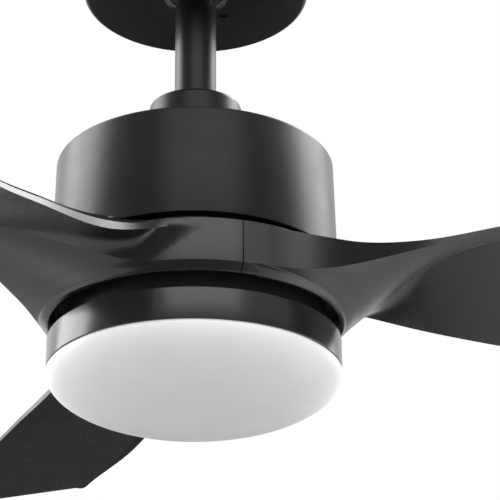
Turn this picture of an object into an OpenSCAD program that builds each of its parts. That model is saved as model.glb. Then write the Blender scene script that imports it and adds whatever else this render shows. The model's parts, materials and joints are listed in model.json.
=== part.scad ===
// Ceiling fan with three moulded blades and a round LED light.
// The origin is the centre of the ceiling plane, on the fan's axis, and +Z points up,
// so that every piece hangs below zero. The bracket's legs stand on the Y axis.
// Units are millimetres.

/* [Canopy] */
// Radius of the ceiling canopy
canopy_r = 73.5; // [70:0.5:90]
// Height of the canopy, from the ceiling to its flat underside
canopy_h = 55; // [52:1:80]
// Sheet thickness of the canopy
canopy_wall = 1.2; // [0.8:0.1:2]
// Rounding of the canopy's lower edge
canopy_edge_r = 3; // [2:0.5:8]
// Radius of the hole that the downrod passes
canopy_hole_r = 20.5; // [19:0.5:24]
// Distance from the axis to each canopy screw
canopy_screw_at = 31.5; // [30:0.5:36]

/* [Hanger bracket] */
// Length of the bracket's ceiling plate
bracket_l = 110; // [104:1:124]
// Width of the bracket's ceiling plate
bracket_w = 38; // [32:1:44]
// Thickness of the ceiling plate
bracket_t = 2.5; // [2:0.5:4]
// Distance between the centres of the two ceiling slots
box_spacing = 79.4; // [76:0.2:84]
// Full length of each ceiling slot
slot_l = 15; // [10:0.5:18]
// Width of each ceiling slot
slot_w = 5; // [4:0.5:6]
// Radius of the wire hole in the ceiling plate
wire_hole_r = 12; // [8:0.5:15]
// Thickness of the legs and the ball seat
leg_t = 2; // [1.5:0.5:3]
// Width of the legs
leg_w = 30; // [24:1:34]
// Width of the seat's open throat, which the downrod is hooked in through
throat_w = 28; // [27.5:0.5:32]

/* [Ball and downrod] */
// Radius of the hanger ball
ball_r = 24; // [23:0.5:26]
// Height of the ball's centre above the canopy's underside
ball_up = 17.3; // [16:0.1:19]
// Outside radius of the downrod
rod_r = 13.35; // [12:0.05:13.5]
// Wall thickness of the downrod
rod_wall = 2.8; // [2:0.1:3.5]
// Length of the downrod that shows between canopy and coupling cover
rod_gap = 82.3; // [60:1:600]
// Radius of the cross pin through the ball
ball_pin_r = 2.5; // [2:0.1:3]
// Length of the cross pin through the ball
ball_pin_l = 34; // [31:1:38]

/* [Coupling] */
// Outside radius of the coupling cover
cover_r = 29.6; // [29.4:0.1:40]
// Height of the coupling cover
cover_h = 44; // [42:1:60]
// Wall thickness of the coupling cover
cover_wall = 1.5; // [1:0.1:1.8]
// Outside radius of the coupling's barrel
coupling_r = 20; // [18.5:0.5:20.2]
// Height of the coupling
coupling_h = 40; // [38:0.5:41]
// Radius of the coupling's foot
coupling_foot_r = 27.6; // [27.2:0.1:27.7]
// Thickness of the coupling's foot
coupling_foot_t = 4; // [3:0.5:6]
// Depth that the downrod reaches into the coupling
rod_seat = 28; // [25:0.5:30]
// Radius of the clevis pin
clevis_r = 2.5; // [2:0.1:3]

/* [Motor housing] */
// Radius of the motor housing at its top
housing_top_r = 87.4; // [84:0.2:88]
// Radius of the motor housing at its open bottom
housing_r = 89; // [87:0.5:93]
// Height of the motor housing
housing_h = 70.3; // [68:0.5:90]
// Sheet thickness of the motor housing
housing_wall = 1.5; // [1:0.1:1.8]
// Rounding of the motor housing's top edge
housing_edge_r = 2; // [1.8:0.1:4]

/* [Motor] */
// Outside radius of the hollow motor shaft
shaft_r = 8.5; // [8:0.1:9]
// Outside radius of the rotor
rotor_r = 69; // [68.4:0.2:76]
// Height of the rotor
rotor_h = 55; // [52:1:56]
// Thickness of the rotor's floor
rotor_floor = 4; // [3:0.5:5]
// Thickness of the rotor's lid
rotor_lid = 3; // [2:0.5:4]
// Outside radius of the stator
stator_r = 59; // [56:0.5:59.4]
// Stack height of the stator core
stator_h = 22; // [16:1:24]
// Number of stator teeth
stator_teeth = 12; // [9:3:15]
// Number of rotor magnets
magnet_count = 14; // [8:2:16]
// Radial thickness of the magnets
magnet_t = 4; // [3:0.2:4.2]
// Outside radius of each bearing
bearing_r = 20; // [19:0.5:21]
// Width of each bearing
bearing_w = 12; // [10:0.5:14]
// Radius of the bearing balls
bearing_ball_r = 2.35; // [2:0.05:2.6]
// Number of balls in each bearing
bearing_ball_count = 8; // [6:1:10]

/* [Blades] */
// Diameter swept by the blade tips
blade_sweep = 904; // [760:2:1400]
// Widest chord of a blade
blade_chord = 165; // [150:1:180]
// Pitch of a blade at its widest chord
blade_pitch = 17; // [12:0.5:20]
// Radius of the hub band that the three blade roots make
hub_r = 95; // [94:0.5:98]
// Height of the hub band
band_h = 27.1; // [25:0.1:34]
// Thickness of a blade at its rear edge
rear_edge_t = 5; // [3:0.5:7]
// Thickness of a blade at its front edge
front_edge_t = 2.6; // [2:0.2:4]
// Thickness of a blade along its ridge, where the ridge leaves the root
ridge_edge_t = 4.6; // [3:0.2:7]
// Height of the slope under the hub band
root_drop = 5.1; // [3:0.1:6]
// Width of the slope under the hub band
root_slope = 4.6; // [3:0.1:6]
// Thickness of the wall behind the hub band
band_wall = 4; // [3:0.5:4.5]
// Thickness of the flange that the blade screws hold
flange_t = 5; // [4:0.5:7]
// Width of the blade flange, in from the wall behind the band
flange_w = 26.4; // [22:0.2:30]
// Distance of the blade screws from the hub plate's edge
blade_screw_in = 12; // [8:0.5:15]
// Gap at the seam between neighbouring blade roots
seam_gap = 0.4; // [0.2:0.1:1]
// Thickness of the hub plate
hub_plate_t = 4; // [3:0.5:6]
// Gap between the hub plate and the wall behind the band
hub_plate_gap = 3.4; // [1.4:0.2:8]

/* [Light] */
// Gap between the motor housing and the hub band
hub_gap = 6.3; // [4.5:0.1:8]
// Gap between the blade roots and the light ring
ring_gap = 9.5; // [6:0.5:14]
// How far the light ring's outside lies inside the hub band's
ring_inset = 5; // [2:0.5:7]
// Height of the light ring
ring_h = 19.8; // [19:0.2:30]
// Wall thickness of the light ring
ring_wall = 1.6; // [1.2:0.1:1.8]
// How far the light ring stands out past the fixed neck
ring_over = 12; // [9:0.5:14]
// Sheet thickness of the neck
neck_t = 1.5; // [1:0.1:2]
// How far the lens's rim stands out past the light ring
lens_over = 0.3; // [0:0.1:1.5]
// Depth of the lens below its rim
lens_h = 29; // [20:1:60]
// Wall thickness of the lens
lens_t = 2.2; // [1.5:0.1:3]
// Gap between the light ring and the lens's rim
lens_gap = 1; // [0.6:0.1:2]
// Thickness of the heat spreader
spreader_t = 4; // [3:0.5:5]
// Gap between the heat spreader and the light ring's wall
spreader_gap = 8.4; // [6.4:0.2:12]
// Distance of the LED board's edge from the circle of the ring screws
board_gap = 8; // [5:0.5:12]
// Thickness of the circuit boards
board_t = 1.6; // [1:0.1:2]

/* [Wiring] */
// Radius of the supply cable
cable_r = 1.8; // [1.4:0.1:2]
// Inside radius of the supply cable's bend below the shaft
cable_bend = 7; // [5:0.5:8]
// Radius of the lead from the driver to the LED board
lead_r = 1.8; // [1:0.1:2]

/* [Screws and fits] */
// Shank radius of the large screws
big_screw_r = 2.1; // [1.8:0.1:2.3]
// Shank radius of the small screws
small_screw_r = 1.5; // [1.2:0.1:1.6]
// Radial clearance of a pin or screw in its hole
slip = 0.1; // [0.05:0.01:0.15]
// Radial clearance between the ball and its seat
seat_gap = 0.05; // [0.02:0.01:0.1]
// Clearance of a bearing ball in its races
race_gap = 0.05; // [0.03:0.01:0.08]

/* [Hidden] */
$fn = 72;
eps = 0.01;
dark = [0.09, 0.09, 0.095];
steel = [0.72, 0.73, 0.75];
zinc = [0.62, 0.63, 0.66];

// Levels of the hanging parts
z_canopy = -canopy_h;
z_ball = z_canopy + ball_up;
z_cover = z_canopy - rod_gap;
z_house = z_cover - cover_h;
z_house_low = z_house - housing_h;
z_hub = z_house_low - hub_gap;
z_root = z_hub - band_h - root_drop;
z_ring = z_root - ring_gap;
z_ring_low = z_ring - ring_h;
z_rim = z_ring_low - lens_gap;

// Hanger bracket and ball
leg_y = ball_r + 1;
seat_t = leg_t;
bracket_corner_r = 5;
z_seat = z_canopy + canopy_wall + seat_t;
seat_back = ball_r + 4;
seat_front = leg_w / 2 + 2;
tab_l = canopy_screw_at + 7 - leg_y - leg_t;
tab_w = 18;
ball_foot = ball_up - 1;
ball_crown = 18.7;
key_w = 6;
key_d = 2.6;
key_gap = 1;
ball_pin_up = 11.7;
ball_screw_r = 2.5;
rod_top = z_ball + ball_crown + 2.1;
ground_screw_x = leg_w / 2 - 7;
ground_screw_z = -20;
ground_screw_r = 1.6;
ground_screw_end = 3;
ground_head_h = 2;
canopy_head_r = 4.2;
canopy_head_h = 2.2;

// Coupling
z_foot = z_house + coupling_foot_t;
z_coupling = z_house + coupling_h;
z_rod_low = z_coupling - rod_seat;
shaft_up = 8;
z_clevis = z_coupling - 15.7;
clevis_head = 2.5;
clevis_end = coupling_r + 4;
clip_wire_r = 0.9;
clip_at = coupling_r + 2.3;
grub_r = 3;
z_grub = z_coupling - 7;
foot_screw_at = (coupling_r + coupling_foot_r) / 2;
cover_slip = 0.6;
head_r = 3.3;
head_h = 2.4;
screw_short = 0.3;
small_head_r = 2.8;
small_head_h = 1.8;
hex_h = 2.5;
ball_hex_r = 1.3;
grub_hex_r = 1.5;

// Motor stack, from the mounting plate down to the neck
plate_t = 3;
plate_r = 45;
z_plate = z_house - housing_wall;
z_rotor_low = z_hub + 2;
z_rotor = z_rotor_low + rotor_h;
z_upper_bearing = z_rotor - bearing_w;
z_lower_bearing = z_rotor_low;
lip_t = 1.5;
lip_r = bearing_r - 3;
boss_wall = 4;
z_stator = (z_rotor - rotor_lid + z_rotor_low + rotor_floor) / 2;
tooth_w = 7;
insulator_t = 1.5;
coil_w = 3.4;
coil_in = 28;
coil_out = stator_r - 7;
shoe_t = 5;
shoe_half = 11.5;
core_hub_r = 26;
core_tube_r = 11.5;
inner_ring_r = shaft_r + slip + 3.6;
outer_ring_r = bearing_r - 4.7;
ball_circle_r = (inner_ring_r + outer_ring_r) / 2;
cage_t = 1.2;
cage_w = 3;
magnet_in_r = stator_r + 1;
shell_in_r = magnet_in_r + magnet_t + slip;
shell_screw_at = (shell_in_r + rotor_r) / 2;
rotor_thread = 8;
rotor_head_r = 2.1;
rotor_head_h = 1.4;
magnet_angle = 360 / magnet_count - 2.7;
magnet_h = stator_h + 2;
z_board = z_plate - plate_t - 4.4;
board_in_r = 22;
board_edge = 9.9;
board_out_r = housing_top_r - housing_wall - board_edge;
standoff_at = 38;
standoff_r = 3.2;
hub_hole_r = 15;
hub_screw_at = 40;
root_in_r = hub_r - root_slope - band_wall;
flange_in_r = root_in_r - flange_w;
hub_plate_r = root_in_r - hub_plate_gap;
blade_screw_at = hub_plate_r - blade_screw_in;
z_flange = z_rotor_low - hub_plate_t;
z_flange_low = z_flange - flange_t;
blade_head_r = 4;
blade_head_h = 2.6;
z_neck = z_flange_low - blade_head_h - 3.4;
spacer_r = 12;
nut_h = 8;
nut_r = 12.5;
z_shaft_low = z_neck - neck_t - nut_h - 1.1;

// Light: the ring follows the hub band, and neck, spreader, board and lens follow the ring
ring_r = hub_r - ring_inset;
neck_r = ring_r - ring_over;
neck_lip = 12;
ring_screw_at = neck_r - neck_lip / 2;
ring_head_r = 3;
ring_head_h = 2;
spreader_r = ring_r - ring_wall - spreader_gap;
board_r = ring_screw_at - board_gap;
lens_r = ring_r + lens_over;
driver_l = 70;
driver_w = 36;
driver_h = 22;
driver_y = -24 - driver_w / 2;
driver_corner_r = 3;
ear_l = 9;
ear_corner_r = 2;
ear_w = 12;
ear_t = 3;
lead_y = -30;
lead_hole_r = 6;
z_spreader = z_ring - ring_wall;
z_led_board = z_spreader - spreader_t;
z_leds = z_led_board - board_t;
board_screw_at = board_r - 6;
led_rings = [[board_r - 40, 10], [board_r - 20, 18]];
led_size = 3.5;
led_t = 0.8;
collar_gap = 4.4;
collar_r = ring_r - ring_wall - collar_gap;
lug_reach = 3.2;
lug_t = 2;
lip_reach = 3.8;
z_lip = z_ring_low + 4.4;
lug_gap = 0.2;
lug_angle = 20;
notch_angle = 26;
lug_start = 12;

// Turn of the blades about the axis at rest, their number and the seam's place in a sector
rotor_turn = 34;
blade_count = 3;
sector = 360 / blade_count;
seam_a = -71.2;

// Wiring: the cable runs straight down beside the pins and through the shaft's bore
cable_gap = 0.3;
cable_x = max(ball_pin_r, clevis_r) + cable_r + cable_gap;
shaft_bore_r = cable_x + cable_r + cable_gap;
connector_l = 22;
connector_w = 16;
connector_h = 9;
cable_out = 3;

// ---------------------------------------------------------------- helpers

// Tube between two levels
module tube(r_out, r_in, z_low, z_high) {
    translate([0, 0, z_low]) difference() {
        cylinder(r = r_out, h = z_high - z_low);
        translate([0, 0, -1]) cylinder(r = r_in, h = z_high - z_low + 2);
    }
}

// Copies of the children on a pitch circle
module on_circle(count, radius, start = 0) {
    for (i = [0:count - 1]) rotate(start + i * 360 / count) translate([radius, 0, 0]) children();
}

// Screw that points up, its head below zero, with a cross recess
module screw(shank_r, length, cap_r, cap_h) {
    recess_l = 1.2 * cap_r;
    recess_w = 0.8;
    recess_h = cap_h / 2;
    difference() {
        union() {
            translate([0, 0, -cap_h]) cylinder(r = cap_r, h = cap_h, $fn = 32);
            cylinder(r = shank_r, h = length, $fn = 32);
        }
        for (a = [0, 90]) rotate(a)
            translate([-recess_l / 2, -recess_w / 2, -cap_h - eps]) cube([recess_l, recess_w, recess_h]);
    }
}

// Rounded plate outline
module plate_2d(l, w, r) {
    square([l - 2 * r, w], center = true);
    square([l, w - 2 * r], center = true);
    for (x = [-1, 1], y = [-1, 1]) translate([x * (l / 2 - r), y * (w / 2 - r)]) circle(r);
}

// Half profile of a cup that hangs from zero and is rounded at its lower edge
module cup_2d(r, h, edge) {
    translate([0, -h + edge]) square([r, h - edge]);
    translate([0, -h]) square([r - edge, edge]);
    translate([r - edge, -h + edge]) circle(edge);
}

// ---------------------------------------------------------------- ceiling mount

module canopy() {
    color(dark) difference() {
        rotate_extrude() difference() {
            cup_2d(canopy_r, canopy_h, canopy_edge_r);
            translate([0, eps]) cup_2d(canopy_r - canopy_wall, canopy_h - canopy_wall + eps,
                                       canopy_edge_r - canopy_wall);
        }
        translate([0, 0, z_canopy - 1]) cylinder(r = canopy_hole_r, h = canopy_wall + 2);
        on_circle(2, canopy_screw_at, 90)
            translate([0, 0, z_canopy - 1]) cylinder(r = big_screw_r + slip, h = canopy_wall + 2);
    }
}

module hanger_bracket() {
    color(zinc) difference() {
        union() {
            translate([0, 0, -bracket_t]) linear_extrude(bracket_t) rotate(90)
                plate_2d(bracket_l, bracket_w, bracket_corner_r);
            for (s = [-1, 1]) {
                translate([-leg_w / 2, s * (leg_y + leg_t / 2) - leg_t / 2, z_seat - seat_t])
                    cube([leg_w, leg_t, -z_seat + seat_t - bracket_t + eps]);
                translate([-tab_w / 2, s * (leg_y + leg_t / 2 + tab_l / 2) - tab_l / 2 - leg_t / 2,
                           z_seat - seat_t])
                    cube([tab_w, tab_l + leg_t, seat_t]);
            }
            translate([-seat_back, -leg_y - eps, z_seat - seat_t])
                cube([seat_back + seat_front, 2 * leg_y + 2 * eps, seat_t]);
        }
        difference() {
            translate([0, 0, z_ball]) sphere(r = ball_r + seat_gap);
            bracket_key();
        }
        translate([0, -throat_w / 2, z_seat - seat_t - 1]) cube([leg_w, throat_w, seat_t + 2]);
        translate([0, 0, -bracket_t - 1]) cylinder(r = wire_hole_r, h = bracket_t + 2);
        for (s = [-1, 1]) translate([0, s * box_spacing / 2, -bracket_t - 1])
            linear_extrude(bracket_t + 2) {
                square([slot_w, slot_l - slot_w], center = true);
                for (e = [-1, 1]) translate([0, e * (slot_l - slot_w) / 2]) circle(slot_w / 2);
            }
        on_circle(2, canopy_screw_at, 90)
            translate([0, 0, z_seat - seat_t - 1]) cylinder(r = big_screw_r + slip, h = seat_t + 2);
        translate([ground_screw_x, leg_y - 1, ground_screw_z]) rotate([-90, 0, 0])
            cylinder(r = ground_screw_r + slip, h = leg_t + 2);
    }
}

// Tongue on the seat that fills the ball's key groove and stops it from spinning
module bracket_key() {
    key_x = sqrt(pow(ball_r - key_d + key_gap, 2) - pow(z_seat - z_ball, 2));
    translate([-seat_back, -key_w / 2 + slip, z_seat - seat_t - 1])
        cube([seat_back - key_x, key_w - 2 * slip, seat_t + 2]);
}

module canopy_screws() {
    color(dark) on_circle(2, canopy_screw_at, 90) translate([0, 0, z_canopy])
        screw(big_screw_r, z_seat - z_canopy + 1, canopy_head_r, canopy_head_h);
}

module ground_screw() {
    color([0.15, 0.45, 0.2]) translate([ground_screw_x, leg_y, ground_screw_z]) rotate([-90, 0, 0])
        screw(ground_screw_r, leg_t + ground_screw_end, head_r, ground_head_h);
}

module hanger_ball() {
    color([0.2, 0.2, 0.21]) translate([0, 0, z_ball]) difference() {
        sphere(r = ball_r);
        translate([0, 0, -ball_r]) cylinder(r = rod_r + slip, h = 2 * ball_r);
        translate([-ball_r, -ball_r, -ball_r]) cube([2 * ball_r, 2 * ball_r, ball_r - ball_foot]);
        translate([-ball_r, -ball_r, ball_crown]) cube([2 * ball_r, 2 * ball_r, ball_r]);
        translate([-ball_pin_r - slip, -ball_pin_l / 2 - 1, ball_pin_up - ball_pin_r - slip])
            cube([2 * (ball_pin_r + slip), ball_pin_l + 2, ball_r]);
        intersection() {
            rotate([90, 0, 0]) tube(ball_r + 2, ball_r - key_d, -key_w / 2, key_w / 2);
            translate([-ball_r - 3, -key_w, -ball_r - 3]) cube([ball_r + 3, 2 * key_w, ball_r + 3]);
        }
        rotate([0, 90, 0]) cylinder(r = ball_screw_r + slip, h = ball_r + 1);
    }
}

module ball_pin() {
    color(steel) translate([0, 0, z_ball + ball_pin_up]) rotate([90, 0, 0])
        cylinder(r = ball_pin_r, h = ball_pin_l, center = true);
}

module ball_set_screw() {
    ball_screw_l = ball_r - rod_r - 1.6;
    color(steel) translate([rod_r + slip, 0, z_ball]) rotate([0, 90, 0]) difference() {
        cylinder(r = ball_screw_r, h = ball_screw_l);
        translate([0, 0, ball_screw_l - hex_h]) cylinder(r = ball_hex_r, h = hex_h + 1, $fn = 6);
    }
}

module downrod() {
    color(dark) difference() {
        tube(rod_r, rod_r - rod_wall, z_rod_low, rod_top);
        translate([0, 0, z_ball + ball_pin_up]) rotate([90, 0, 0])
            cylinder(r = ball_pin_r + slip, h = 4 * rod_r, center = true);
        translate([0, 0, z_clevis]) rotate([90, 0, 0])
            cylinder(r = clevis_r + slip, h = 4 * rod_r, center = true);
    }
}

// ---------------------------------------------------------------- coupling

module coupling() {
    color(zinc) difference() {
        union() {
            translate([0, 0, z_house]) cylinder(r = coupling_foot_r, h = coupling_foot_t);
            translate([0, 0, z_house]) cylinder(r = coupling_r, h = coupling_h);
        }
        translate([0, 0, z_rod_low]) cylinder(r = rod_r + slip, h = rod_seat + 1);
        translate([0, 0, z_house]) cylinder(r = shaft_bore_r, h = coupling_h);
        translate([0, 0, z_house - 1]) cylinder(r = shaft_r + slip, h = shaft_up + 1);
        translate([0, 0, z_clevis]) rotate([90, 0, 0])
            cylinder(r = clevis_r + slip, h = 4 * coupling_r, center = true);
        translate([0, 0, z_grub]) rotate([0, 90, 0])
            cylinder(r = grub_r + slip, h = 4 * coupling_r, center = true);
        on_circle(3, foot_screw_at, 30)
            translate([0, 0, z_house - 1]) cylinder(r = big_screw_r + slip, h = coupling_foot_t + 2);
    }
}

module clevis_pin() {
    color(steel) translate([0, 0, z_clevis]) rotate([-90, 0, 0]) difference() {
        union() {
            translate([0, 0, -coupling_r - slip]) cylinder(r = clevis_r, h = coupling_r + slip + clevis_end);
            translate([0, 0, -coupling_r - slip - clevis_head]) cylinder(r = clevis_r + 2, h = clevis_head);
        }
        translate([0, 0, clip_at]) rotate([90, 0, 0])
            cylinder(r = clip_wire_r + slip, h = 4 * clevis_r, center = true, $fn = 32);
    }
}

// Hairpin clip: one leg through the clevis pin, the other along its side
module clevis_clip() {
    leg_x = clevis_r + clip_wire_r + slip;
    bend_z = 9;
    pin_leg = 17;
    side_leg = 15;
    color(steel) translate([0, clip_at, z_clevis]) {
        translate([0, 0, bend_z - pin_leg]) cylinder(r = clip_wire_r, h = pin_leg, $fn = 32);
        translate([leg_x, 0, bend_z - side_leg]) cylinder(r = clip_wire_r, h = side_leg, $fn = 32);
        translate([leg_x / 2, 0, bend_z]) rotate([90, 0, 0])
            rotate_extrude(angle = 180) translate([leg_x / 2, 0]) circle(clip_wire_r, $fn = 32);
    }
}

module coupling_set_screws() {
    grub_l = coupling_r - rod_r - slip - 0.3;
    color(steel) for (s = [0, 180]) rotate(s) translate([rod_r + slip, 0, z_grub])
        rotate([0, 90, 0]) difference() {
            cylinder(r = grub_r, h = grub_l);
            translate([0, 0, grub_l - hex_h]) cylinder(r = grub_hex_r, h = hex_h + 1, $fn = 6);
        }
}

module coupling_screws() {
    color(steel) on_circle(3, foot_screw_at, 30) translate([0, 0, z_foot]) mirror([0, 0, 1])
        screw(big_screw_r, coupling_foot_t + housing_wall + plate_t, head_r, head_h);
}

module coupling_cover() {
    cover_edge_r = 2.5;
    color(dark) translate([0, 0, z_house]) difference() {
        mirror([0, 0, 1]) rotate_extrude() difference() {
            cup_2d(cover_r, cover_h, cover_edge_r);
            translate([0, eps]) cup_2d(cover_r - cover_wall, cover_h - cover_wall + eps,
                                       cover_edge_r - cover_wall);
        }
        cylinder(r = rod_r + cover_slip, h = cover_h + 1);
    }
}

// ---------------------------------------------------------------- motor housing and board

// Outline of the tapered drum, rounded at its top edge
function drum(top_r, low_r, z_top, z_low, edge) = concat(
    [[0, z_low], [low_r, z_low]],
    [for (a = [0:15:90]) [top_r - edge + edge * cos(a), z_top - edge + edge * sin(a)]],
    [[0, z_top]]);

module motor_housing() {
    color(dark) difference() {
        rotate_extrude($fn = 120) difference() {
            polygon(drum(housing_top_r, housing_r, z_house, z_house_low, housing_edge_r));
            polygon(drum(housing_top_r - housing_wall, housing_r - housing_wall, z_plate,
                         z_house_low - 1, housing_edge_r - housing_wall));
        }
        translate([0, 0, z_plate - 1]) cylinder(r = shaft_r + slip, h = housing_wall + 2);
        on_circle(3, foot_screw_at, 30)
            translate([0, 0, z_plate - 1]) cylinder(r = big_screw_r + slip, h = housing_wall + 2);
    }
}

module mount_plate() {
    color(zinc) difference() {
        tube(plate_r, shaft_r + slip, z_plate - plate_t, z_plate);
        on_circle(3, foot_screw_at, 30)
            translate([0, 0, z_plate - plate_t - 1]) cylinder(r = big_screw_r + slip, h = plate_t + 2);
        on_circle(3, standoff_at, 90)
            translate([0, 0, z_plate - plate_t - 1]) cylinder(r = small_screw_r + slip, h = plate_t + 2);
    }
}

module upper_spacer() {
    color(steel) tube(spacer_r, shaft_r + slip, z_rotor, z_plate - plate_t);
}

// Controller board: a ring-shaped circuit board with its capacitors and driver chips
module control_board() {
    parts_at = board_out_r - 15.5;
    capacitor = [5, 6.2];
    chip = [8, 6, 2.4];
    choke = [12, 18, 5];
    color([0.1, 0.32, 0.18]) difference() {
        union() {
            tube(board_out_r, board_in_r, z_board - board_t, z_board);
            for (a = [20:30:80]) rotate(a) translate([parts_at, 0, z_board - eps])
                cylinder(r = capacitor[0], h = capacitor[1]);
            for (a = [120:30:240]) rotate(a) translate([parts_at, 0, z_board + chip.z / 2 - eps])
                cube(chip, center = true);
            rotate(290) translate([parts_at, 0, z_board + choke.z / 2 - eps]) cube(choke, center = true);
        }
        on_circle(3, standoff_at, 90)
            translate([0, 0, z_board - board_t - 1]) cylinder(r = small_screw_r + slip, h = board_t + 2);
    }
}

module board_standoffs() {
    color([0.85, 0.85, 0.82]) on_circle(3, standoff_at, 90)
        tube(standoff_r, small_screw_r + slip, z_board, z_plate - plate_t);
}

module board_screws() {
    color(steel) on_circle(3, standoff_at, 90) translate([0, 0, z_board - board_t])
        screw(small_screw_r, board_t + z_plate - z_board - screw_short, small_head_r, small_head_h);
}

// ---------------------------------------------------------------- motor

module motor_shaft() {
    color(steel) tube(shaft_r, shaft_bore_r, z_shaft_low, z_house + shaft_up);
}

// Laminated core outline: hub, teeth and pole shoes
module core_2d() {
    difference() {
        union() {
            circle(core_hub_r);
            for (i = [0:stator_teeth - 1]) rotate(i * 360 / stator_teeth) {
                translate([core_hub_r - 2, -tooth_w / 2])
                    square([stator_r - shoe_t - core_hub_r + 4, tooth_w]);
                intersection() {
                    difference() {
                        circle(stator_r);
                        circle(stator_r - shoe_t);
                    }
                    polygon([[0, 0], 2 * stator_r * [cos(shoe_half), -sin(shoe_half)],
                             2 * stator_r * [cos(shoe_half), sin(shoe_half)]]);
                }
            }
        }
        circle(shaft_r + slip);
    }
}

module stator_core() {
    color([0.5, 0.5, 0.52]) {
        translate([0, 0, z_stator - stator_h / 2]) linear_extrude(stator_h) core_2d();
        tube(core_tube_r, shaft_r + slip, z_lower_bearing + bearing_w, z_upper_bearing);
    }
}

module stator_insulators() {
    color([0.9, 0.9, 0.86]) for (s = [0, 1]) difference() {
        translate([0, 0, z_stator - stator_h / 2 + s * stator_h - (1 - s) * insulator_t])
            linear_extrude(insulator_t) core_2d();
        translate([0, 0, z_stator]) cylinder(r = spacer_r, h = 2 * stator_h, center = true);
    }
}

module stator_windings() {
    inner_h = stator_h + 2 * (insulator_t + slip);
    inner_w = tooth_w + 2 * slip;
    color([0.72, 0.4, 0.2]) on_circle(stator_teeth, (coil_in + coil_out) / 2) translate([0, 0, z_stator])
        difference() {
            cube([coil_out - coil_in, inner_w + 2 * coil_w, inner_h + 2 * coil_w], center = true);
            cube([coil_out - coil_in + 2, inner_w, inner_h], center = true);
        }
}

module bearing_inner(z) {
    color(steel) difference() {
        tube(inner_ring_r, shaft_r + slip, z, z + bearing_w);
        bearing_groove(z);
    }
}

module bearing_outer(z) {
    color(steel) difference() {
        tube(bearing_r, outer_ring_r, z, z + bearing_w);
        bearing_groove(z);
    }
}

module bearing_groove(z) {
    translate([0, 0, z + bearing_w / 2]) rotate_extrude()
        translate([ball_circle_r, 0]) circle(bearing_ball_r + race_gap);
}

// The balls of one bearing, and the cage that spaces them
module bearing_balls(z) {
    color([0.85, 0.75, 0.4]) translate([0, 0, z + bearing_w / 2]) {
        on_circle(bearing_ball_count, ball_circle_r) sphere(r = bearing_ball_r);
        difference() {
            tube(ball_circle_r + cage_t / 2, ball_circle_r - cage_t / 2, -cage_w / 2, cage_w / 2);
            on_circle(bearing_ball_count, ball_circle_r) sphere(r = bearing_ball_r + race_gap);
        }
    }
}

module rotor_boss(z_low, z_high) {
    tube(bearing_r + slip + boss_wall, bearing_r + slip, z_low, z_high);
}

module rotor_upper_shell() {
    vents = 8;
    vent_r = 7;
    vent_at = (bearing_r + boss_wall + shell_in_r) / 2;
    color([0.6, 0.61, 0.63]) difference() {
        union() {
            tube(rotor_r, bearing_r + slip, z_rotor - rotor_lid, z_rotor);
            rotor_boss(z_upper_bearing, z_rotor);
            tube(bearing_r + slip + boss_wall, lip_r, z_rotor, z_rotor + lip_t);
        }
        rotor_screw_holes(z_rotor - rotor_lid - 1, rotor_lid + 2);
        on_circle(vents, vent_at, 180 / vents)
            translate([0, 0, z_rotor - rotor_lid - 1]) cylinder(r = vent_r, h = rotor_lid + 2);
    }
}

module rotor_lower_shell() {
    color([0.6, 0.61, 0.63]) difference() {
        union() {
            tube(rotor_r, shell_in_r, z_rotor_low, z_rotor - rotor_lid);
            tube(rotor_r, bearing_r + slip, z_rotor_low, z_rotor_low + rotor_floor);
            rotor_boss(z_rotor_low, z_rotor_low + bearing_w + 1);
        }
        rotor_screw_holes(z_rotor - rotor_lid - rotor_thread - 1, rotor_thread + 2);
        on_circle(6, hub_screw_at, 30)
            translate([0, 0, z_rotor_low - 1]) cylinder(r = big_screw_r + slip, h = rotor_floor + 2);
    }
}

module rotor_screw_holes(z, h) {
    on_circle(6, shell_screw_at, 15) translate([0, 0, z]) cylinder(r = small_screw_r + slip, h = h);
}

module rotor_magnets() {
    color([0.25, 0.25, 0.27]) for (i = [0:magnet_count - 1]) rotate(i * 360 / magnet_count)
        translate([0, 0, z_stator - magnet_h / 2]) rotate_extrude(angle = magnet_angle)
            translate([magnet_in_r, 0]) square([magnet_t, magnet_h]);
}

module rotor_screws() {
    color(steel) on_circle(6, shell_screw_at, 15) translate([0, 0, z_rotor]) mirror([0, 0, 1])
        screw(small_screw_r, rotor_lid + rotor_thread, rotor_head_r, rotor_head_h);
}

// ---------------------------------------------------------------- blades

module blade_hub() {
    color([0.35, 0.35, 0.37]) difference() {
        tube(hub_plate_r, hub_hole_r, z_flange, z_rotor_low);
        on_circle(6, hub_screw_at, 30)
            translate([0, 0, z_flange - 1]) cylinder(r = big_screw_r + slip, h = hub_plate_t + 2);
        blade_screw_holes(z_flange - 1, hub_plate_t + 2);
    }
}

module hub_screws() {
    color(steel) on_circle(6, hub_screw_at, 30) translate([0, 0, z_flange])
        screw(big_screw_r, hub_plate_t + rotor_floor - screw_short, head_r, head_h);
}

// Places of the blade screws: three to a blade, spread over its sector
module at_blade_screws() {
    for (i = [0:blade_count - 1], a = [-36, 0, 36])
        rotate(rotor_turn + seam_a + (i + 0.5) * sector + a) translate([blade_screw_at, 0, 0]) children();
}

module blade_screw_holes(z, h) {
    at_blade_screws() translate([0, 0, z]) cylinder(r = big_screw_r + slip, h = h);
}

module blade_screws() {
    color([0.3, 0.3, 0.31]) at_blade_screws() translate([0, 0, z_flange_low])
        screw(big_screw_r, flange_t + hub_plate_t - screw_short, blade_head_r, blade_head_h);
}

// A blade is the exact sector of the hub band and the free blade that grows out of it.
// The free blade is lofted through rows from its front edge over a ridge to its rear edge.
// Its first rows lie inside the band, and the ridge dies out along the front edge.
reach = blade_sweep / 2 - hub_r;
lift = blade_chord * sin(blade_pitch);
front_a = seam_a + seam_gap / 2 / hub_r * 180 / PI;
rear_a = seam_a + sector - seam_gap / 2 / hub_r * 180 / PI;
inset = 0.3;

function polar(r, a, z) = [r * cos(a), r * sin(a), z];
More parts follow.
